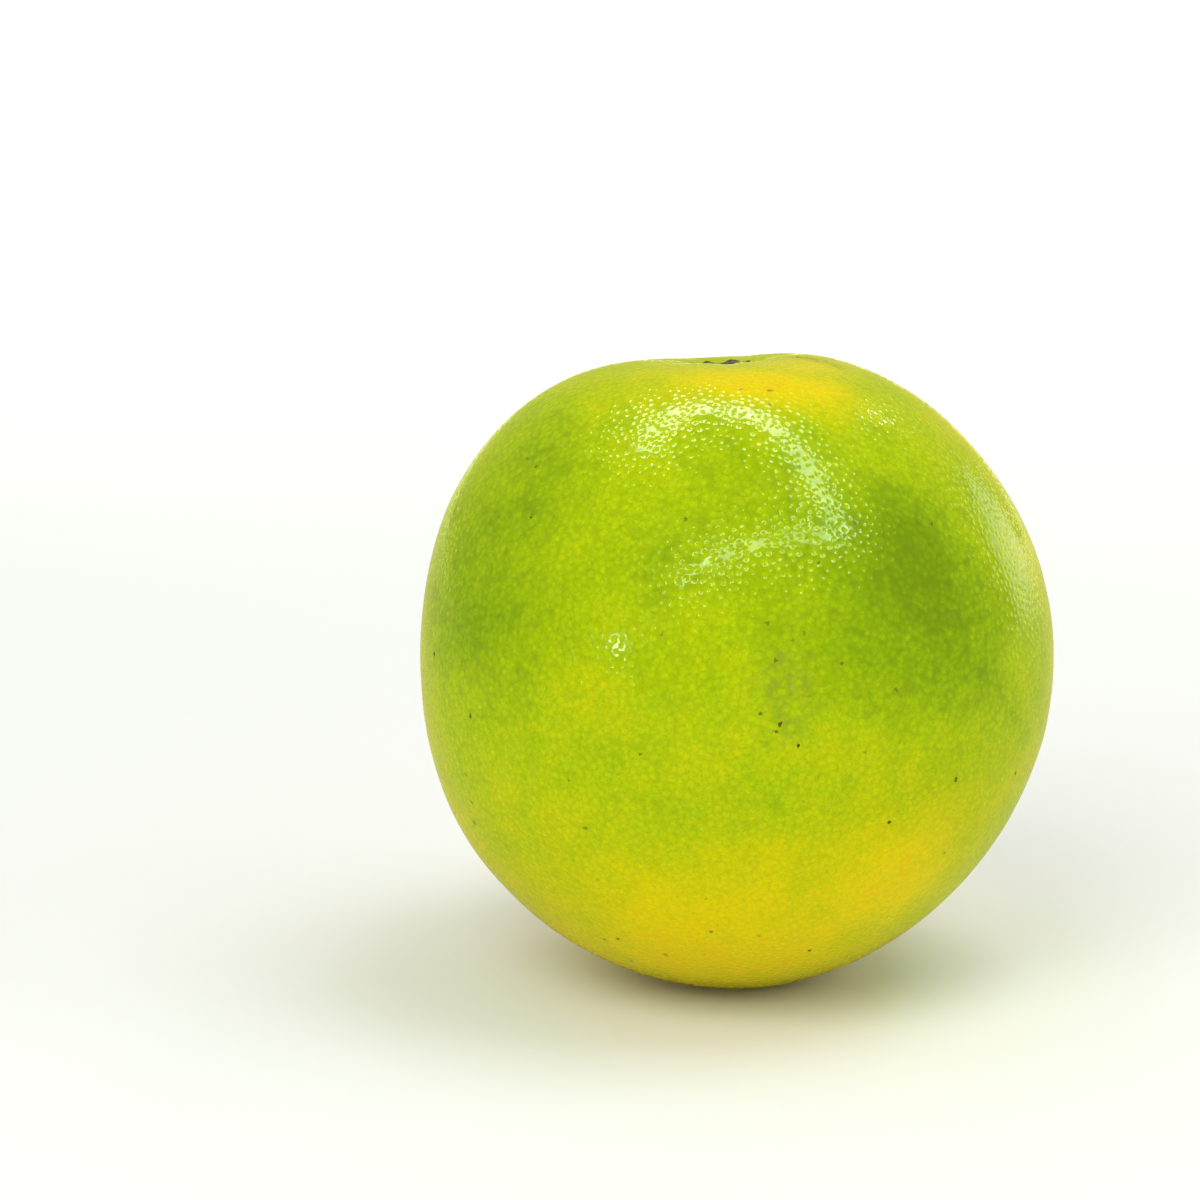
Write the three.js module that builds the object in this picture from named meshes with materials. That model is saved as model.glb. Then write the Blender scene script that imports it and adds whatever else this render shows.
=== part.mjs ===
// A whole sweet orange, picked, standing on the small flat spot of its blossom end,
// with the dried stem button (calyx) still seated in the dimple of its stem end.
//
// Millimetres, +Z up, +Y towards the back. The origin is the middle of the flat spot,
// on the surface that the fruit stands on.
//
// The fruit is one closed surface around a centre point. In every direction it has a
// radius: a mean radius, plus broad lobes that give the square shoulders and the taper,
// less a wide basin and a narrow pit around the leaning stem axis.

import * as THREE from 'three';

const degrees = THREE.MathUtils.degToRad;

// ---- driving dimensions -------------------------------------------------------------

const MEAN_RADIUS = 37.9;
const FOOT_RADIUS = 6.5;
const FOOT_BALL_RADIUS = 38.9;
const FOOT_BLEND_END = degrees(24);

const STEM_LEAN_BACK = degrees(6.5);
const STEM_LEAN_LEFT = degrees(2.4);

const BASIN_DEPTH = 2.4;
const BASIN_REACH = degrees(17);
const PIT_DEPTH = 1.7;
const PIT_REACH = degrees(5.4);

// Broad swellings and hollows of the body, in degrees and millimetres. Azimuth runs from
// +X (right) over +Y (back); polar is the angle down from +Z.
const LOBES = [
  { azimuth: 186, polar: 42, reach: 28, height: 2.0 },
  { azimuth: 8, polar: 26, reach: 20, height: 0.3 },
  { azimuth: 55, polar: 16, reach: 12, height: 0.55 },
  { azimuth: 280, polar: 46, reach: 32, height: 1.0 },
  { azimuth: 110, polar: 95, reach: 34, height: 0.3 },
  { azimuth: 232, polar: 104, reach: 30, height: -0.4 },
  { azimuth: 182, polar: 90, reach: 20, height: -0.55 },
  { azimuth: 175, polar: 132, reach: 34, height: 0.5 },
  { azimuth: 5, polar: 128, reach: 34, height: -0.8 },
  { azimuth: 0, polar: 180, reach: 36, height: 1.0 },
];

const BUTTON_RADIUS = 2.9;
const BUTTON_POINTS = 5;
const BUTTON_POINT_HEIGHT = 0.28;
const BUTTON_GAP = 0.3;
const BUTTON_CENTRE_THICKNESS = 0.8;
const BUTTON_RIM_THICKNESS = 0.25;
const SCAR_RADIUS = 1.15;
const SCAR_HEIGHT = 0.2;
const SCAR_WIDTH = 0.4;

// ---- mesh fineness ------------------------------------------------------------------

const AROUND = 64;
const CROWN_ANGLE = degrees(16);
const CROWN_ROWS = 12;
const BODY_ROWS = 36;
const FOOT_RINGS = 2;
const BUTTON_AROUND = 40;
const BUTTON_RINGS = 7;

// ---- derived places -----------------------------------------------------------------

const FOOT_ANGLE = Math.asin(FOOT_RADIUS / FOOT_BALL_RADIUS);
const CENTRE_HEIGHT = FOOT_BALL_RADIUS * Math.cos(FOOT_ANGLE);
const CENTRE = new THREE.Vector3(0, 0, CENTRE_HEIGHT);
const UP = new THREE.Vector3(0, 0, 1);
const DOWN = new THREE.Vector3(0, 0, -1);
const STEM_AXIS = new THREE.Vector3(
  -Math.tan(STEM_LEAN_LEFT),
  Math.tan(STEM_LEAN_BACK),
  1,
).normalize();
const STEM_TURN = new THREE.Quaternion().setFromUnitVectors(UP, STEM_AXIS);

function directionTo(azimuth, polar) {
  return new THREE.Vector3(
    Math.sin(polar) * Math.cos(azimuth),
    Math.sin(polar) * Math.sin(azimuth),
    Math.cos(polar),
  );
}

const swellings = LOBES.map(({ azimuth, polar, reach, height }) => ({
  direction: directionTo(degrees(azimuth), degrees(polar)),
  reach: degrees(reach),
  height,
}));

// ---- the surface of the fruit -------------------------------------------------------

// 1 at zero, falling smoothly to nothing at about twice the reach.
function bell(distance, reach) {
  return Math.exp(-((distance / reach) ** 2));
}

function lobedRadius(direction) {
  const fromStem = direction.angleTo(STEM_AXIS);
  let radius = MEAN_RADIUS;
  radius -= BASIN_DEPTH * bell(fromStem, BASIN_REACH);
  radius -= PIT_DEPTH * bell(fromStem, PIT_REACH);
  for (const swelling of swellings) {
    radius += swelling.height * bell(direction.angleTo(swelling.direction), swelling.reach);
  }
  return radius;
}

// Near the foot the radius settles on one value, so that the flat spot is a true disc.
function peelRadius(direction) {
  const fromFoot = direction.angleTo(DOWN);
  if (fromFoot < FOOT_ANGLE) {
    return CENTRE_HEIGHT / -direction.z;
  }
  const lobed = THREE.MathUtils.smoothstep(fromFoot, FOOT_ANGLE, FOOT_BLEND_END);
  return THREE.MathUtils.lerp(FOOT_BALL_RADIUS, lobedRadius(direction), lobed);
}

function peelPoint(direction, above = 0) {
  return direction.clone().multiplyScalar(peelRadius(direction) + above).add(CENTRE);
}

// ---- the fruit ----------------------------------------------------------------------

// Polar angles of the rows: close together over the crown, where the dimple is.
function rowAngles() {
  const footEdge = Math.PI - FOOT_ANGLE;
  const angles = [];
  for (let row = 0; row < CROWN_ROWS; row += 1) {
    angles.push((CROWN_ANGLE * row) / CROWN_ROWS);
  }
  for (let row = 0; row < BODY_ROWS; row += 1) {
    angles.push(THREE.MathUtils.lerp(CROWN_ANGLE, footEdge, row / BODY_ROWS));
  }
  for (let ring = 0; ring <= FOOT_RINGS; ring += 1) {
    angles.push(THREE.MathUtils.lerp(footEdge, Math.PI, ring / FOOT_RINGS));
  }
  return angles;
}

// A unit ball turned on +Z, from the foot up. The pole rows lie exactly on the axis.
function unitBall() {
  const angles = rowAngles().reverse();
  const profile = angles.map((polar) => new THREE.Vector2(Math.sin(polar), Math.cos(polar)));
  profile[0].set(0, -1);
  profile[profile.length - 1].set(0, 1);
  const ball = new THREE.LatheGeometry(profile, AROUND);
  ball.rotateX(Math.PI / 2);
  return ball;
}

// Moves every vertex of a geometry to the point that place(vertex) returns.
function moveVertices(geometry, place) {
  const positions = geometry.getAttribute('position');
  const vertex = new THREE.Vector3();
  for (let index = 0; index < positions.count; index += 1) {
    vertex.fromBufferAttribute(positions, index);
    const moved = place(vertex);
    positions.setXYZ(index, moved.x, moved.y, moved.z);
  }
  geometry.computeVertexNormals();
  return geometry;
}

function fruitGeometry() {
  return moveVertices(unitBall(), (vertex) => peelPoint(vertex.normalize()));
}

// ---- the stem button ----------------------------------------------------------------

// The button is laid out flat, as a disc of unit radius and unit thickness around +Z,
// and then wrapped onto the floor of the pit.
function unitDisc() {
  const profile = [];
  for (let ring = 0; ring <= BUTTON_RINGS; ring += 1) {
    profile.push(new THREE.Vector2(ring / BUTTON_RINGS, 0));
  }
  for (let ring = BUTTON_RINGS; ring >= 0; ring -= 1) {
    profile.push(new THREE.Vector2(ring / BUTTON_RINGS, 1));
  }
  const disc = new THREE.LatheGeometry(profile, BUTTON_AROUND);
  disc.rotateX(Math.PI / 2);
  return disc;
}

// Thickness at a distance from the middle: thin at the rim, with a low raised ring
// where the stem broke off.
function buttonThickness(distance) {
  const domed = 1 - (distance / BUTTON_RADIUS) ** 2;
  const thickness = THREE.MathUtils.lerp(BUTTON_RIM_THICKNESS, BUTTON_CENTRE_THICKNESS, domed);
  return thickness + SCAR_HEIGHT * bell(distance - SCAR_RADIUS, SCAR_WIDTH);
}

function buttonPoint(vertex) {
  const azimuth = Math.atan2(vertex.y, vertex.x);
  const flatRadius = Math.hypot(vertex.x, vertex.y);
  const outline = BUTTON_RADIUS + BUTTON_POINT_HEIGHT * Math.cos(BUTTON_POINTS * azimuth);
  const distance = flatRadius * outline;
  const direction = directionTo(azimuth, distance / MEAN_RADIUS);
  direction.applyQuaternion(STEM_TURN);
  return peelPoint(direction, BUTTON_GAP + vertex.z * buttonThickness(distance));
}

function buttonGeometry() {
  return moveVertices(unitDisc(), buttonPoint);
}

// ---- assembly -----------------------------------------------------------------------

function namedMesh(name, geometry, material) {
  const mesh = new THREE.Mesh(geometry, material);
  mesh.name = name;
  return mesh;
}

const peel = new THREE.MeshStandardMaterial({ color: '#a8c41a', roughness: 0.4, metalness: 0 });
const driedCalyx = new THREE.MeshStandardMaterial({ color: '#6f5f33', roughness: 0.8, metalness: 0 });

const orange = new THREE.Group();
orange.add(namedMesh('fruit', fruitGeometry(), peel));
orange.add(namedMesh('stem_button', buttonGeometry(), driedCalyx));

export default orange;
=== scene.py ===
"""A whole fresh orange, green turning yellow, standing on a pale table.

Blender 4.5, in metres, Z up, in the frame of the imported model: the orange rests at the origin, its
front faces -Y and its stem end is up. The peel is a mesh with one small fan of faces for each oil
gland, and the stem button is a crinkled, five-lobed disc in the pit at the crown.
"""
import math
import random

import bmesh
import bpy
import numpy as np
from mathutils import Matrix, Vector, kdtree, noise


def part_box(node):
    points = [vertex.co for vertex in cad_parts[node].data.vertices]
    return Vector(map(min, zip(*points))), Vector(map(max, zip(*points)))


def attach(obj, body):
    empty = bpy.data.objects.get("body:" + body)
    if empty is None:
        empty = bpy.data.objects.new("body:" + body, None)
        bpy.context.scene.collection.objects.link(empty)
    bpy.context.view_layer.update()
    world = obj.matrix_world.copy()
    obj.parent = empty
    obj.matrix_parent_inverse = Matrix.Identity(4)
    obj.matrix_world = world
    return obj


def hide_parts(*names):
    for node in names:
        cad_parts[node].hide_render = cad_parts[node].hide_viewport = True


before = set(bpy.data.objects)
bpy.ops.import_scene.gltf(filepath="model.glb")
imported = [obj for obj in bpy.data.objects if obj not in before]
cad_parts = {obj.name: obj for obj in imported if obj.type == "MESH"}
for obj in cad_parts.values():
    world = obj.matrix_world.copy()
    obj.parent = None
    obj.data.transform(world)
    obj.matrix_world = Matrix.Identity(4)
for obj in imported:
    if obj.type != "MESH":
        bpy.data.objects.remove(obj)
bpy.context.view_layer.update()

# ---------------------------------------------------------------- units and the shape of the CAD part
CROWN_HEIGHT = 75.3  # the fruit's height, in the shape's own millimetres
MM = (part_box("fruit")[1].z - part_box("fruit")[0].z) / CROWN_HEIGHT

MEAN_RADIUS = 37.9
FOOT_RADIUS = 6.5
FOOT_BALL_RADIUS = 38.9
FOOT_ANGLE = math.asin(FOOT_RADIUS / FOOT_BALL_RADIUS)
FOOT_BLEND_END = math.radians(24)
CENTRE_HEIGHT = FOOT_BALL_RADIUS * math.cos(FOOT_ANGLE)

STEM_LEAN_BACK = math.radians(6.5)
STEM_LEAN_LEFT = math.radians(2.4)
STEM_AXIS = Vector((-math.tan(STEM_LEAN_LEFT), math.tan(STEM_LEAN_BACK), 1)).normalized()

BASIN = (2.4, 17)  # depth in mm and reach in degrees of the wide dip around the stem
PIT = (1.7, 5.4)  # the same of the pit that holds the button

# Low swellings and hollows of the fruit: azimuth from +X, polar angle from +Z, reach, height in mm.
LOBES = (
    (186, 42, 28, 2.0),
    (8, 26, 20, 0.3),
    (55, 16, 12, 0.55),
    (280, 46, 32, 1.0),
    (110, 95, 34, 0.3),
    (232, 104, 30, -0.4),
    (182, 90, 20, -0.55),
    (175, 132, 34, 0.5),
    (5, 128, 34, -0.8),
    (0, 180, 36, 1.0),
)

# ---------------------------------------------------------------- the peel's finer relief, in mm
GLANDS = 18000
GLAND_DEPTH = 0.045
GLAND_JITTER = 0.55  # how far the spots are thrown off an even pattern, in spacings
RELAX_ROUNDS = 5
RELAX_NEIGHBOURS = 5
RELAX_PUSH = 0.3
SWELL = (0.10, 11)  # height and width of the slow unevenness under the peel
RIPPLE = (0.025, 4)  # height and width of the finer unevenness
FURROWS = 7
FURROW_DEPTH = 0.22
FURROW_RING = (9, 4)  # degrees from the stem where the furrows are deepest, and their reach
FURROW_WANDER = (2, 14)  # how far in radians the furrows stray, over features this wide
SCAR_RADIUS = 1.5  # the small scar at the blossom end, in the middle of the foot
SCAR_DEPTH = 0.5
GLAND_SEED = 4
TONE_SEED = 8
MARK_SEED = 11
TINY = 1e-6  # the least gap between two spots that a push is divided by

# ---------------------------------------------------------------- where the peel is ripe, green or marked
# Soft zones: azimuth, polar angle, reach, change of ripeness from 0, dark green, to 1, orange.
RIPENESS = 0.43
RIPE_ZONES = (
    (255, 18, 7, 0.22),  # yellow patch in front of the stem and right of it
    (282, 20, 8, 0.24),
    (304, 24, 8, 0.26),
    (350, 13, 9, 0.26),
    (236, 20, 16, 0.12),
    (214, 71, 20, -0.24),  # green left side
    (214, 46, 16, -0.14),
    (268, 48, 18, -0.16),  # green inside the ring of light
    (304, 55, 13, -0.24),  # dark green band on the right
    (312, 72, 18, -0.34),
    (290, 74, 10, -0.12),
    (262, 106, 12, -0.08),
    (306, 116, 15, 0.30),  # yellow glow low on the right
    (268, 124, 20, 0.19),  # yellow foot
    (280, 150, 30, 0.24),
    (100, 160, 34, 0.40),
    (232, 138, 24, 0.14),
    (40, 60, 34, 0.20),  # the back, riper than the front
    (85, 100, 38, 0.36),
    (135, 70, 28, -0.16),
    (160, 118, 34, 0.26),
    (10, 104, 26, 0.10),
)
# Dull, rubbed places, and brown ones near the stem, in the same way.
SCUFF_ZONES = ((278, 79, 4.5, 1.2), (279, 87, 3.0, 0.7), (120, 92, 5, 0.9), (40, 66, 4, 0.7))
STAIN_ZONES = ((19, 12, 2.2, 0.9), (5, 15, 2.2, 0.7), (356, 18, 1.8, 0.5))
# Small dark marks, each one gland wide: azimuth, polar angle, darkness.
MARKS = (
    (215, 47, 0.8), (222, 55, 1.0), (201, 84, 1.0), (216, 91, 0.9), (254, 92, 0.7),
    (275, 70, 0.6), (277, 76, 0.7), (271, 21, 0.7), (284, 27, 0.6), (299, 106, 1.0),
    (313, 101, 0.9), (299, 82, 0.6), (289, 77, 0.7), (234, 138, 1.0), (238, 137, 0.9),
    (250, 140, 0.8), (236, 145, 0.9), (265, 131, 0.8), (290, 138, 1.0), (333, 103, 0.8),
    (242, 108, 0.6), (277, 86, 1.0), (278, 88, 0.8), (280, 91, 1.0), (212, 104, 0.6),
    (211, 110, 0.6), (209, 114, 0.6), (19, 12, 0.7), (356, 17, 0.5), (60, 72, 1.0),
    (64, 74, 0.8), (96, 54, 0.9), (128, 88, 1.0), (150, 118, 0.8), (20, 96, 0.9),
)
STRAY_MARKS = 60
STRAY_DARKNESS = (0.25, 0.75)
RIPE_NOISE = ((0.10, 9, 5), (0.07, 3.5, 6))  # change of ripeness, width in mm, seed
STEM_STAIN_REACH = 5.5  # in degrees
SCAR_STAIN_REACH = 1.3  # in radii of the scar


def direction(azimuth, polar):
    """The unit vector at an azimuth and a polar angle in degrees."""
    turn, tip = math.radians(azimuth), math.radians(polar)
    return Vector((math.sin(tip) * math.cos(turn), math.sin(tip) * math.sin(turn), math.cos(tip)))


def angles_to(directions, axis):
    """The angle in radians between each direction and an axis."""
    return np.arccos(np.clip(directions @ np.array(axis), -1, 1))


def bell(distance, reach):
    """1 in the middle, falling softly to 0 past the reach."""
    return np.exp(-((distance / reach) ** 2))


def smooth(value, low, high):
    """0 below low, 1 above high and a smooth slope between them."""
    share = np.clip((value - low) / (high - low), 0, 1)
    return share * share * (3 - 2 * share)


def zones(directions, table):
    """The sum of soft round zones, each an azimuth, polar angle, reach and height."""
    total = np.zeros(len(directions))
    for azimuth, polar, reach, height in table:
        total += height * bell(angles_to(directions, direction(azimuth, polar)), math.radians(reach))
    return total


def peel_radius(directions):
    """The distance from the fruit's centre to the CAD part's surface, in mm."""
    from_stem = angles_to(directions, STEM_AXIS)
    radius = MEAN_RADIUS + zones(directions, LOBES)
    for depth, reach in (BASIN, PIT):
        radius -= depth * bell(from_stem, math.radians(reach))
    from_foot = angles_to(directions, (0, 0, -1))
    blended = FOOT_BALL_RADIUS + (radius - FOOT_BALL_RADIUS) * smooth(from_foot, FOOT_ANGLE, FOOT_BLEND_END)
    flat = CENTRE_HEIGHT / np.maximum(-directions[:, 2], 0.5)
    return np.where(from_foot < FOOT_ANGLE, flat, blended)


def noise_over(directions, width, seed):
    """Smooth noise from -1 to 1 over the fruit, with features about width mm wide."""
    shift = Vector((seed * 13.7, seed * 7.1, seed * 3.3))
    scale = MEAN_RADIUS / width
    return np.array([noise.noise(Vector(u) * scale + shift) for u in directions])


def stem_azimuths(directions):
    """Each direction's turn around the stem axis."""
    aside = STEM_AXIS.cross(Vector((0, 1, 0))).normalized()
    ahead = STEM_AXIS.cross(aside)
    return np.arctan2(directions @ np.array(ahead), directions @ np.array(aside))


def peel_relief(directions):
    """The peel's height above the CAD surface, in mm: swellings, furrows round the stem, and on the
    foot nothing but the blossom end's scar."""
    relief = SWELL[0] * noise_over(directions, SWELL[1], 1)
    relief += RIPPLE[0] * noise_over(directions, RIPPLE[1], 2)
    from_stem = np.degrees(angles_to(directions, STEM_AXIS))
    wander, width = FURROW_WANDER
    turns = FURROWS * stem_azimuths(directions) + wander * noise_over(directions, width, 3)
    folds = 0.5 + 0.5 * np.cos(turns)
    ring, reach = FURROW_RING
    relief -= FURROW_DEPTH * folds**3 * bell(from_stem - ring, reach)
    from_foot = angles_to(directions, (0, 0, -1))
    relief *= smooth(from_foot, FOOT_ANGLE, FOOT_BLEND_END)
    scar = bell(from_foot * MEAN_RADIUS, SCAR_RADIUS)
    return relief - SCAR_DEPTH * scar


# ---------------------------------------------------------------- the peel's mesh
def even_directions(count):
    """Directions spread over the sphere at an even but irregular spacing, as oil glands are."""
    draw = np.random.default_rng(GLAND_SEED)
    index = np.arange(count) + 0.5
    turn = index * math.pi * (3 - math.sqrt(5))
    height = 1 - 2 * index / count
    flat = np.sqrt(1 - height**2)
    spots = np.stack([flat * np.cos(turn), flat * np.sin(turn), height], axis=1)
    spacing = math.sqrt(4 * math.pi / count)
    spots += draw.normal(0, GLAND_JITTER * spacing, spots.shape)
    for _ in range(RELAX_ROUNDS):
        spots /= np.linalg.norm(spots, axis=1)[:, None]
        spots = pushed_apart(spots, spacing)
    spots /= np.linalg.norm(spots, axis=1)[:, None]
    return spots[np.unique(hull_triangles(spots))]  # without any that a close neighbour crowds out


def pushed_apart(spots, spacing):
    """The spots, each moved a little away from those that crowd it."""
    tree = kdtree.KDTree(len(spots))
    for i, spot in enumerate(spots):
        tree.insert(spot, i)
    tree.balance()
    moved = spots.copy()
    for i, spot in enumerate(spots):
        for other, _, gap in tree.find_n(spot, RELAX_NEIGHBOURS + 1)[1:]:
            if gap < spacing:
                push = RELAX_PUSH * (spacing / max(gap, TINY) - 1)
                moved[i] += (spot - np.array(other)) * push
    return moved


def hull_triangles(spots):
    """The triangles that join neighbouring spots of the sphere."""
    shell = bmesh.new()
    for spot in spots:
        shell.verts.new(spot)
    shell.verts.index_update()
    bmesh.ops.convex_hull(shell, input=shell.verts)
    triangles = np.array([[v.index for v in face.verts] for face in shell.faces])
    shell.free()
    return triangles


def gland_fans(spots):
    """Turns the spots into cells: a corner between each three neighbours, and for each gland a fan of
    triangles from its spot to the corners round it. Returns all directions and the triangles, each
    with its gland first."""
    triangles = hull_triangles(spots)
    corners = spots[triangles].mean(axis=1)
    corners /= np.linalg.norm(corners, axis=1)[:, None]
    borders = {}
    for number, triangle in enumerate(triangles):
        for a, b in zip(triangle, np.roll(triangle, 1)):
            borders.setdefault((min(a, b), max(a, b)), []).append(number)
    fans = []
    for (a, b), (first, second) in borders.items():
        first += len(spots)
        second += len(spots)
        fans.append((a, first, second))
        fans.append((b, first, second))
    directions = np.concatenate([spots, corners])
    fans = np.array(fans)
    one, two, three = (directions[fans[:, k]] for k in range(3))
    inward = np.einsum("ij,ij->i", np.cross(two - one, three - one), one) < 0
    fans[inward] = fans[inward][:, (0, 2, 1)]
    return directions, fans


def marked_glands(spots):
    """How dark a mark each gland carries, from 0 to 1."""
    tree = kdtree.KDTree(len(spots))
    for i, spot in enumerate(spots):
        tree.insert(spot, i)
    tree.balance()
    marks = np.zeros(len(spots))
    for azimuth, polar, dark in MARKS:
        marks[tree.find(direction(azimuth, polar))[1]] = dark
    draw = random.Random(MARK_SEED)
    for _ in range(STRAY_MARKS):
        marks[draw.randrange(len(spots))] = draw.uniform(*STRAY_DARKNESS)
    return marks


def add_attribute(mesh, name, kind, domain, values):
    """Stores values on a mesh for its material to read."""
    layer = mesh.attributes.new(name, kind, domain)
    key = "vector" if kind == "FLOAT_VECTOR" else "value"
    layer.data.foreach_set(key, np.asarray(values, np.float32).ravel())


def ripeness_over(directions):
    """How ripe the peel is at each direction, from 0, dark green, to 1, orange."""
    ripe = RIPENESS + zones(directions, RIPE_ZONES)
    for height, width, seed in RIPE_NOISE:
        ripe += height * noise_over(directions, width, seed)
    return np.clip(ripe, 0, 1)


def make_peel():
    """The fruit's outside, with a shallow pit for each oil gland."""
    spots = even_directions(GLANDS)
    directions, fans = gland_fans(spots)
    depth = np.zeros(len(directions))
    depth[: len(spots)] = GLAND_DEPTH
    radius = peel_radius(directions) + peel_relief(directions) - depth
    points = directions * radius[:, None] + np.array((0, 0, CENTRE_HEIGHT))
    mesh = bpy.data.meshes.new("orange_peel")
    mesh.from_pydata(points * MM, [], fans.tolist())
    mesh.shade_smooth()
    offsets = points[fans] - points[fans[:, :1]]
    add_attribute(mesh, "gland_offset", "FLOAT_VECTOR", "CORNER", offsets)
    draw = np.random.default_rng(TONE_SEED)
    add_attribute(mesh, "gland_tone", "FLOAT", "FACE", draw.random(len(spots))[fans[:, 0]])
    add_attribute(mesh, "mark", "FLOAT", "FACE", marked_glands(spots)[fans[:, 0]])
    add_attribute(mesh, "ripeness", "FLOAT", "POINT", ripeness_over(directions))
    add_attribute(mesh, "scuff", "FLOAT", "POINT", zones(directions, SCUFF_ZONES))
    around_stem = bell(np.degrees(angles_to(directions, STEM_AXIS)), STEM_STAIN_REACH)
    from_scar = angles_to(directions, (0, 0, -1)) * MEAN_RADIUS
    scar = bell(from_scar, SCAR_STAIN_REACH * SCAR_RADIUS)
    stain = np.maximum(around_stem, scar) + zones(directions, STAIN_ZONES)
    add_attribute(mesh, "stain", "FLOAT", "POINT", stain)
    return link("orange_peel", mesh)


def link(name, mesh):
    """Puts a mesh in the scene as an object."""
    piece = bpy.data.objects.new(name, mesh)
    bpy.context.scene.collection.objects.link(piece)
    return piece


# ---------------------------------------------------------------- the stem button
BUTTON_RADIUS = 2.9
BUTTON_POINTS = 5
BUTTON_POINT_HEIGHT = 0.28
BUTTON_LIFT = 0.1
BUTTON_THICKNESS = 0.62
RIM_THICKNESS = 0.4
BUTTON_AROUND = 100
BUTTON_RINGS = 26
STALK_SCAR_RADIUS = 1.1
STALK_SCAR_RIM = (0.16, 0.26)  # height and width of the ring round the stalk's scar
STALK_SCAR_DEPTH = 0.3
LOBE_GAP_DEPTH = 0.22
LOBE_RISE = 0.04
CALYX_NOISE = ((0.10, 1.3), (0.08, 3.1), (0.05, 7))  # height, and features for each mm
CALYX_RAGGEDNESS = 0.16
CALYX_UNDERSIDE = (0.93, 0.02)  # its share of the outline, and its height above the pit


def button_height(share, turn):
    """The dried calyx above the pit floor, in mm, at a share of its radius and a turn round it."""
    radius = share * BUTTON_RADIUS
    lobe = 0.5 + 0.5 * math.cos(BUTTON_POINTS * turn)
    height = RIM_THICKNESS + (BUTTON_THICKNESS - RIM_THICKNESS) * math.sqrt(max(0, 1 - share**2.4))
    height -= LOBE_GAP_DEPTH * (1 - lobe) ** 3 * share * (1 - 0.4 * share)
    height += LOBE_RISE * lobe**2 * share
    rim_height, rim_width = STALK_SCAR_RIM
    rim = math.exp(-(((radius - STALK_SCAR_RADIUS) / rim_width) ** 2))
    hollow = math.exp(-((radius / (0.75 * STALK_SCAR_RADIUS)) ** 4))
    height += rim_height * rim - STALK_SCAR_DEPTH * hollow
    spot = Vector((radius * math.cos(turn), radius * math.sin(turn), 3.1))
    for rise, scale in CALYX_NOISE:
        height += rise * noise.noise(spot * scale)
    return height


def button_outline(turn):
    """The calyx's radius at a turn round it, in mm: five blunt lobes with a ragged edge."""
    ragged = noise.noise(Vector((math.cos(turn) * 2.5, math.sin(turn) * 2.5, 9)))
    points = BUTTON_POINT_HEIGHT * math.cos(BUTTON_POINTS * turn)
    return BUTTON_RADIUS + points + CALYX_RAGGEDNESS * ragged


def on_the_stem(distances, turns, heights):
    """Points at distances along the peel from the stem axis, at heights above the pit, in metres."""
    tips = distances / MEAN_RADIUS
    local = np.stack([np.sin(tips) * np.cos(turns), np.sin(tips) * np.sin(turns), np.cos(tips)], axis=1)
    turned = np.array(Vector((0, 0, 1)).rotation_difference(STEM_AXIS).to_matrix())
    directions = local @ turned.T
    reach = peel_radius(directions) + heights
    return (directions * reach[:, None] + np.array((0, 0, CENTRE_HEIGHT))) * MM


def make_button():
    """The five-lobed dried calyx, a closed disc that lies on the pit's floor."""
    turns = [2 * math.pi * k / BUTTON_AROUND for k in range(BUTTON_AROUND)]
    rows = [(0.0, 0.0, BUTTON_LIFT + button_height(0, 0))]
    for ring in range(1, BUTTON_RINGS + 1):
        share = ring / BUTTON_RINGS
        for turn in turns:
            height = BUTTON_LIFT + button_height(share, turn)
            rows.append((share * button_outline(turn), turn, height))
    inset, low = CALYX_UNDERSIDE
    for turn in turns:
        rows.append((inset * button_outline(turn), turn, low))
    rows.append((0.0, 0.0, low))
    faces = []
    last = len(rows) - 1
    for k in range(BUTTON_AROUND):
        after = (k + 1) % BUTTON_AROUND
        faces.append((0, 1 + k, 1 + after))
        for ring in range(BUTTON_RINGS):
            inner = 1 + ring * BUTTON_AROUND
            outer = inner + BUTTON_AROUND
            faces.append((inner + k, outer + k, outer + after, inner + after))
        under = 1 + BUTTON_RINGS * BUTTON_AROUND
        faces.append((under + after, under + k, last))
    distances, around, heights = np.array(rows).T
    mesh = bpy.data.meshes.new("calyx_button")
    mesh.from_pydata(on_the_stem(distances, around, heights), [], faces)
    mesh.shade_smooth()
    # Nearness to the calyx's rim, which its finish darkens as painted shade of the gap where it sits in the
    # pit.
    add_attribute(mesh, "edge", "FLOAT", "POINT", smooth(distances / BUTTON_RADIUS, 0.7, 1.0))
    return link("calyx_button", mesh)


# ---------------------------------------------------------------- materials
def linear(code):
    """A colour from its six-digit code, as the renderer's linear red, green, blue and 1."""
    parts = [int(code[k : k + 2], 16) / 255 for k in (0, 2, 4)]
    return tuple(p / 12.92 if p <= 0.04045 else ((p + 0.055) / 1.055) ** 2.4 for p in parts) + (1.0,)


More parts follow.
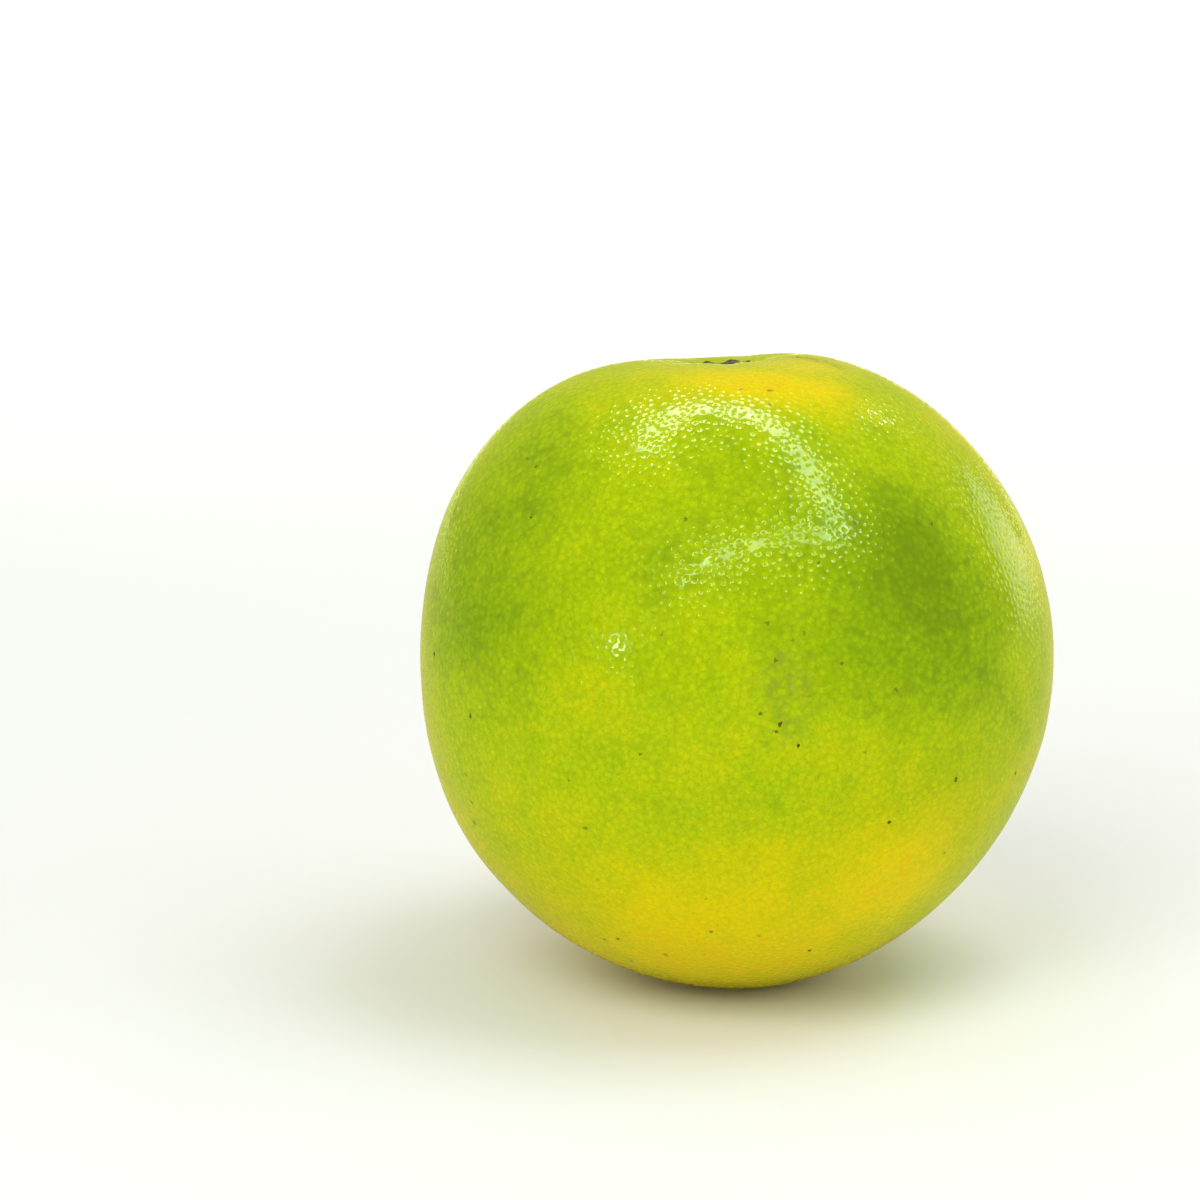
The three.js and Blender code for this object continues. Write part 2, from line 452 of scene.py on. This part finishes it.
class Finish:
    """A material and short calls that add nodes to it."""

    def __init__(self, name):
        self.material = bpy.data.materials.new(name)
        self.material.use_nodes = True
        self.tree = self.material.node_tree
        self.shader = self.tree.nodes["Principled BSDF"]

    def put(self, node, key, value):
        """Sets a node's input to a value, or joins it to another node's output."""
        if isinstance(value, bpy.types.NodeSocket):
            self.tree.links.new(value, node.inputs[key])
        else:
            node.inputs[key].default_value = value

    def node(self, kind, inputs, output=0, **settings):
        """A node with its settings and inputs. Returns one of its outputs."""
        made = self.tree.nodes.new(kind)
        for key, value in settings.items():
            setattr(made, key, value)
        for key, value in inputs.items():
            self.put(made, key, value)
        return made.outputs[output]

    def stored(self, name, output="Fac"):
        """What the mesh stores under a name."""
        return self.node("ShaderNodeAttribute", {}, output, attribute_name=name)

    def maths(self, operation, *values):
        """The result of one operation on numbers."""
        return self.node("ShaderNodeMath", dict(enumerate(values)), operation=operation)

    def ease(self, value, low, high, start=0.0, end=1.0):
        """A smooth step from start, below low, to end, above high."""
        inputs = {"Value": value, "From Min": low, "From Max": high, "To Min": start, "To Max": end}
        return self.node("ShaderNodeMapRange", inputs, interpolation_type="SMOOTHSTEP")

    def grain(self, scale, detail=2.0):
        """Noise at a number of features for each metre, from 0 to 1."""
        place = self.node("ShaderNodeTexCoord", {}, "Object")
        return self.node("ShaderNodeTexNoise", {"Vector": place, "Scale": scale, "Detail": detail})

    def ramp(self, value, stops):
        """Colours along a value, from (place, colour code) pairs."""
        output = self.node("ShaderNodeValToRGB", {"Fac": value})
        band = output.node.color_ramp
        for place, code in stops[1:-1]:
            band.elements.new(place).color = linear(code)
        band.elements[0].color = linear(stops[0][1])
        band.elements[-1].position = stops[-1][0]
        band.elements[-1].color = linear(stops[-1][1])
        return output

    def blend(self, share, first, second, how="MIX"):
        """Two colours mixed by a share."""
        made = self.tree.nodes.new("ShaderNodeMix")
        made.data_type = "RGBA"
        made.blend_type = how
        self.put(made, "Factor", share)
        for key, value in ((6, first), (7, second)):
            self.put(made, key, linear(value) if isinstance(value, str) else value)
        return made.outputs[2]


# Noise in the materials, as features for each metre.
MOTTLE_GRAIN = 1100
GRIT_GRAIN = 3400
SMUDGE_GRAIN = 560
SCUFF_GRAIN = 700
STAIN_GRAIN = 1800
SPECK_GRAIN = 2600
POLISH_GRAIN = 350
FINE_GRAIN = 4200
WAVE_GRAIN = 450
WOOD_GRAIN = 700
CRACK_GRAIN = 3300
CALYX_GRAIN = 2600

PEEL_COLOURS = (
    (0.0, "759409"),
    (0.18, "8cac08"),
    (0.40, "adc405"),
    (0.60, "cdcb03"),
    (0.80, "e6d002"),
    (1.0, "efb801"),
)
DOT_LIGHT = "ffffc0"
NET_GREEN = "7f9a1e"
GRIT_GREEN = "6f8a0c"
SMUDGE_OLIVE = "687c16"
SCUFF_OLIVE = "7d8426"
STAIN_BROWN = "6d5a22"
SPECK_RIM_BROWN = "6d5c26"
SPECK_HEART_BROWN = "2e260c"
CALYX_COLOURS = ((0.0, "3a2d15"), (0.40, "6a5a2c"), (0.58, "8c8146"), (1.0, "b0a56c"))
# Brown for the calyx's real cracks, and also for the painted shade at its rim and underside.
CRACK_BROWN_AND_RIM_SHADE = "1d150a"

PEEL_BUMP = 0.000055  # the depth in metres that one unit of the peel's bump stands for
CALYX_BUMP = 0.0001
PEEL_IOR = 1.34
PEEL_MIRROR_TINT = (0.75, 1.0, 0.6, 1.0)


def peel_finish():
    """Waxy peel: green to orange by ripeness, with paler glands in a darker net, and small marks."""
    finish = Finish("peel")
    offset = finish.stored("gland_offset", "Vector")
    distance = finish.node("ShaderNodeVectorMath", {0: offset}, "Value", operation="LENGTH")
    tone = finish.stored("gland_tone")
    ripe = finish.stored("ripeness")

    mottle = finish.maths("MULTIPLY_ADD", finish.grain(MOTTLE_GRAIN, 5.0), 0.34, -0.17)
    skin = finish.ramp(finish.maths("ADD", ripe, mottle), PEEL_COLOURS)

    # Paler glands in a darker net: both fade as the peel ripens.
    dot = finish.ease(distance, 0.10, finish.maths("MULTIPLY_ADD", tone, 0.25, 0.32), 1.0, 0.0)
    plain = finish.ease(ripe, 0.3, 0.9, 1.0, 0.45)
    dot = finish.maths("MULTIPLY", dot, plain)
    dot_share = finish.maths("MULTIPLY", dot, finish.maths("MULTIPLY_ADD", tone, 0.16, 0.02))
    paler = finish.blend(1.0, skin, DOT_LIGHT, "SOFT_LIGHT")
    skin = finish.blend(dot_share, skin, paler)
    net = finish.maths("MULTIPLY", finish.ease(distance, 0.26, 0.66, 0.0, 0.15), plain)
    skin = finish.blend(net, skin, NET_GREEN, "MULTIPLY")
    grit = finish.ease(finish.grain(GRIT_GRAIN, 4.0), 0.42, 0.72, 0.0, 0.34)
    skin = finish.blend(finish.maths("MULTIPLY", grit, plain), skin, GRIT_GREEN)

    # Unripe peel is smudged with olive.
    unripe = finish.ease(ripe, 0.15, 0.5, 1.0, 0.0)
    smudge = finish.ease(finish.grain(SMUDGE_GRAIN, 7.0), 0.44, 0.70, 0.0, 0.36)
    skin = finish.blend(finish.maths("MULTIPLY", smudge, unripe), skin, SMUDGE_OLIVE)

    scuffed = finish.ease(finish.grain(SCUFF_GRAIN, 5.0), 0.3, 0.75)
    scuff = finish.maths("MULTIPLY", finish.stored("scuff"), scuffed)
    skin = finish.blend(finish.maths("MULTIPLY", scuff, 0.6), skin, SCUFF_OLIVE)
    stained = finish.ease(finish.grain(STAIN_GRAIN, 4.0), 0.3, 0.65)
    stain = finish.maths("MULTIPLY", finish.stored("stain"), stained)
    skin = finish.blend(finish.maths("MULTIPLY", stain, 0.8), skin, STAIN_BROWN)

    # A marked gland has a ragged brown speck.
    ragged = finish.maths("MULTIPLY_ADD", finish.grain(SPECK_GRAIN, 3.0), 1.1, distance)
    inside = finish.ease(ragged, 0.66, 0.88, 1.0, 0.0)
    speck = finish.maths("MULTIPLY", inside, finish.stored("mark"))
    heart = finish.ease(ragged, 0.5, 0.62, 1.0, 0.0)
    brown = finish.blend(heart, SPECK_HEART_BROWN, SPECK_RIM_BROWN)
    skin = finish.blend(speck, skin, brown)
    finish.put(finish.shader, "Base Color", skin)

    rough = finish.ease(finish.grain(POLISH_GRAIN, 3.0), 0.3, 0.7, 0.05, 0.11)
    dull = 0.0
    for worn, share in ((scuff, 0.35), (speck, 0.5), (stain, 0.45)):
        dull = finish.maths("MAXIMUM", finish.maths("MULTIPLY", worn, share), dull)
    finish.put(finish.shader, "Roughness", finish.maths("ADD", rough, dull))

    # Each gland is a round pit, steep in the middle and level at its rim, in a nearly level net.
    reach = finish.maths("DIVIDE", distance, finish.maths("MULTIPLY_ADD", tone, 0.14, 0.50))
    inside = finish.maths("MAXIMUM", finish.maths("SUBTRACT", 1.0, reach), 0.0)
    floor = finish.maths("MULTIPLY_ADD", tone, -0.9, -0.6)
    height = finish.maths("MULTIPLY", finish.maths("MULTIPLY", inside, inside), floor)
    height = finish.maths("MULTIPLY_ADD", finish.grain(FINE_GRAIN), 0.03, height)
    height = finish.maths("MULTIPLY_ADD", finish.grain(WAVE_GRAIN), 0.6, height)
    bump = finish.node("ShaderNodeBump", {"Height": height, "Distance": PEEL_BUMP})
    finish.put(finish.shader, "Normal", bump)
    finish.put(finish.shader, "IOR", PEEL_IOR)
    finish.put(finish.shader, "Specular Tint", PEEL_MIRROR_TINT)
    return finish.material


def button_finish():
    """Dry, woody calyx: olive brown, darker in its cracks, with painted shade at its edge and underside
    where it sits in the pit.
    """
    finish = Finish("dried_calyx")
    patches = finish.grain(WOOD_GRAIN, 4.0)
    wood = finish.ramp(patches, CALYX_COLOURS)
    cracks = finish.ease(finish.grain(CRACK_GRAIN, 3.0), 0.36, 0.5, 0.85, 0.0)
    # Painted shade: the rim and underside are darkened like the cracks, for the gap where the calyx sits in
    # the pit.
    dark = finish.maths("MAXIMUM", cracks, finish.maths("MULTIPLY", finish.stored("edge"), 0.85))
    finish.put(finish.shader, "Base Color", finish.blend(dark, wood, CRACK_BROWN_AND_RIM_SHADE))
    finish.put(finish.shader, "Roughness", finish.ease(patches, 0.3, 0.7, 0.9, 0.65))
    grain = finish.grain(CALYX_GRAIN, 4.0)
    bump = finish.node("ShaderNodeBump", {"Height": grain, "Distance": CALYX_BUMP, "Strength": 0.8})
    finish.put(finish.shader, "Normal", bump)
    return finish.material


# ---------------------------------------------------------------- table, lights and camera
TABLE_HALF = 1.6
LAMP_HEIGHT = 0.9
LAMP_WIDTH = 0.10
LAMP_RADIANCE = 13
# What lights the scene all round, what the camera sees beyond the table, and what is mirrored: the
# peel mirrors its surroundings and the table as yellow, as if other fruit stood around it.
SURROUNDINGS = (0.59, 0.60, 0.58, 1.0)
BACKDROP = (0.82, 0.82, 0.79, 1.0)
MIRRORED = (0.66, 0.64, 0.18, 1.0)
TABLE_COLOUR = (0.89, 0.9, 0.9, 1.0)
TABLE_MIRRORED = (0.62, 0.60, 0.22, 1.0)
TABLE_ROUGHNESS = 0.7
# The overhead tube lamp's bends, to the right and to the back, as shares of its height.
LAMP_BENDS = (
    (-0.43, 0.10),
    (-0.34, 0.30),
    (-0.16, 0.50),
    (0.06, 0.40),
    (0.30, 0.06),
    (0.52, -0.24),
    (0.78, -0.44),
    (0.36, -0.69),
    (-0.28, -0.95),
    (-0.62, -1.16),
)
# The other lamps: place, size, radiance, whether it lights things, whether it is mirrored in them.
LAMPS = (
    ("key", (-0.45, -0.95, 1.0), (0.8, 0.8), 3.7, True, False),
    ("top", (0.5, 0.0, 1.35), (0.8, 0.8), 2.9, True, False),
    ("right_back", (0.55, 0.85, 0.8), (0.10, 0.03), 22, True, True),
    ("right", (1.0, -0.3, 0.5), (0.6, 0.6), 1.1, True, False),
    ("right_sheen", (0.75, 0.75, 0.18), (0.4, 0.33), 1.3, False, True),
    ("left_front", (-0.7, -0.7, 0.24), (0.05, 0.05), 60, True, True),
)
FAR_TABLE_LAMP = ((0, 1.2, 1.0), (3.0, 1.2), 1.6, 60)  # place, size, radiance, spread in degrees
CAMERA_ELEVATION = math.radians(14)
CAMERA_DISTANCE = 0.6
CAMERA_AIM_LEFT = math.radians(1.553)
CAMERA_AIM_UP = math.radians(0.808)
CAMERA_LENS = 151.0
CAMERA_SENSOR = 36.0
LOOK_HEIGHT = 0.03715


def make_table():
    """The pale surface that the orange stands on."""
    half = TABLE_HALF
    corners = [(-half, -half, 0), (half, -half, 0), (half, half, 0), (-half, half, 0)]
    mesh = bpy.data.meshes.new("table")
    mesh.from_pydata(corners, [], [(0, 1, 2, 3)])
    table = link("table", mesh)
    finish = Finish("table")
    mirrored = finish.node("ShaderNodeLightPath", {}, "Is Glossy Ray")
    finish.put(finish.shader, "Base Color", finish.blend(mirrored, TABLE_COLOUR, TABLE_MIRRORED))
    finish.put(finish.shader, "Roughness", TABLE_ROUGHNESS)
    mesh.materials.append(finish.material)


def make_lamp(name, place, aim, along, size, radiance, spread=180, shines=True, mirrored=True):
    """A flat lamp at a place, turned to an aim point, its first side along a direction. It may be
    one that only lights things, or one that is only mirrored in them."""
    data = bpy.data.lights.new(name, "AREA")
    data.shape = "RECTANGLE"
    data.size, data.size_y = size
    data.energy = radiance * math.pi * data.size * data.size_y
    data.spread = math.radians(spread)
    away = (place - aim).normalized()
    side = (along - away * along.dot(away)).normalized()
    lamp = bpy.data.objects.new(name, data)
    turn = Matrix((side, away.cross(side), away)).transposed().to_4x4()
    lamp.matrix_world = Matrix.Translation(place) @ turn
    lamp.visible_diffuse = shines
    lamp.visible_glossy = mirrored
    bpy.context.scene.collection.objects.link(lamp)


def make_lights():
    """The bent tube lamp overhead, which is only mirrored, the other lamps, and light on the table
    behind the fruit."""
    look = Vector((0, 0, LOOK_HEIGHT))
    across = Vector((1, 0, 0))
    bends = [Vector((x, y, 1)) * LAMP_HEIGHT for x, y in LAMP_BENDS]
    for number, (start, end) in enumerate(zip(bends, bends[1:])):
        size = ((end - start).length, LAMP_WIDTH)
        middle = (start + end) / 2
        make_lamp(f"tube_{number}", middle, look, end - start, size, LAMP_RADIANCE, shines=False)
    for name, place, size, radiance, shines, mirrored in LAMPS:
        make_lamp(name, Vector(place), look, across, size, radiance, shines=shines, mirrored=mirrored)
    place, size, radiance, spread = FAR_TABLE_LAMP
    below = Vector((place[0], place[1], 0))
    make_lamp("far_table", Vector(place), below, across, size, radiance, spread)


def make_world():
    """Even light from all round, which the camera and the mirroring peel see in other colours."""
    world = bpy.data.worlds.new("studio")
    world.use_nodes = True
    tree = world.node_tree
    path = tree.nodes.new("ShaderNodeLightPath")
    colour = tree.nodes["Background"].inputs["Color"]
    for ray, seen in (("Is Glossy Ray", MIRRORED), ("Is Camera Ray", BACKDROP)):
        mix = tree.nodes.new("ShaderNodeMix")
        mix.data_type = "RGBA"
        mix.inputs[6].default_value = SURROUNDINGS
        mix.inputs[7].default_value = seen
        tree.links.new(path.outputs[ray], mix.inputs["Factor"])
        if colour.is_linked:
            tree.links.new(colour.links[0].from_socket, mix.inputs[6])
        tree.links.new(mix.outputs[2], colour)
    bpy.context.scene.world = world
    bpy.context.scene.view_settings.view_transform = "Standard"


def make_camera():
    """A long lens at the front, a little above the fruit, which stands right of the middle."""
    back = Vector((0, -math.cos(CAMERA_ELEVATION), math.sin(CAMERA_ELEVATION)))
    right = Vector((1, 0, 0))
    up = right.cross(-back)
    aim = -back - right * math.tan(CAMERA_AIM_LEFT) + up * math.tan(CAMERA_AIM_UP)
    away = -aim.normalized()
    side = Vector((0, 0, 1)).cross(away).normalized()
    data = bpy.data.cameras.new("camera")
    data.lens = CAMERA_LENS
    data.sensor_width = CAMERA_SENSOR
    camera = bpy.data.objects.new("camera", data)
    turn = Matrix((side, away.cross(side), away)).transposed().to_4x4()
    place = Vector((0, 0, LOOK_HEIGHT)) + back * CAMERA_DISTANCE
    camera.matrix_world = Matrix.Translation(place) @ turn
    bpy.context.scene.collection.objects.link(camera)
    bpy.context.scene.camera = camera


# ---------------------------------------------------------------- the scene
peel = make_peel()
peel.data.materials.append(peel_finish())
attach(peel, "root")
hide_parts("fruit")

button = make_button()
button.data.materials.append(button_finish())
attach(button, "root")
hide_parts("stem_button")

make_table()
make_lights()
make_world()
make_camera()
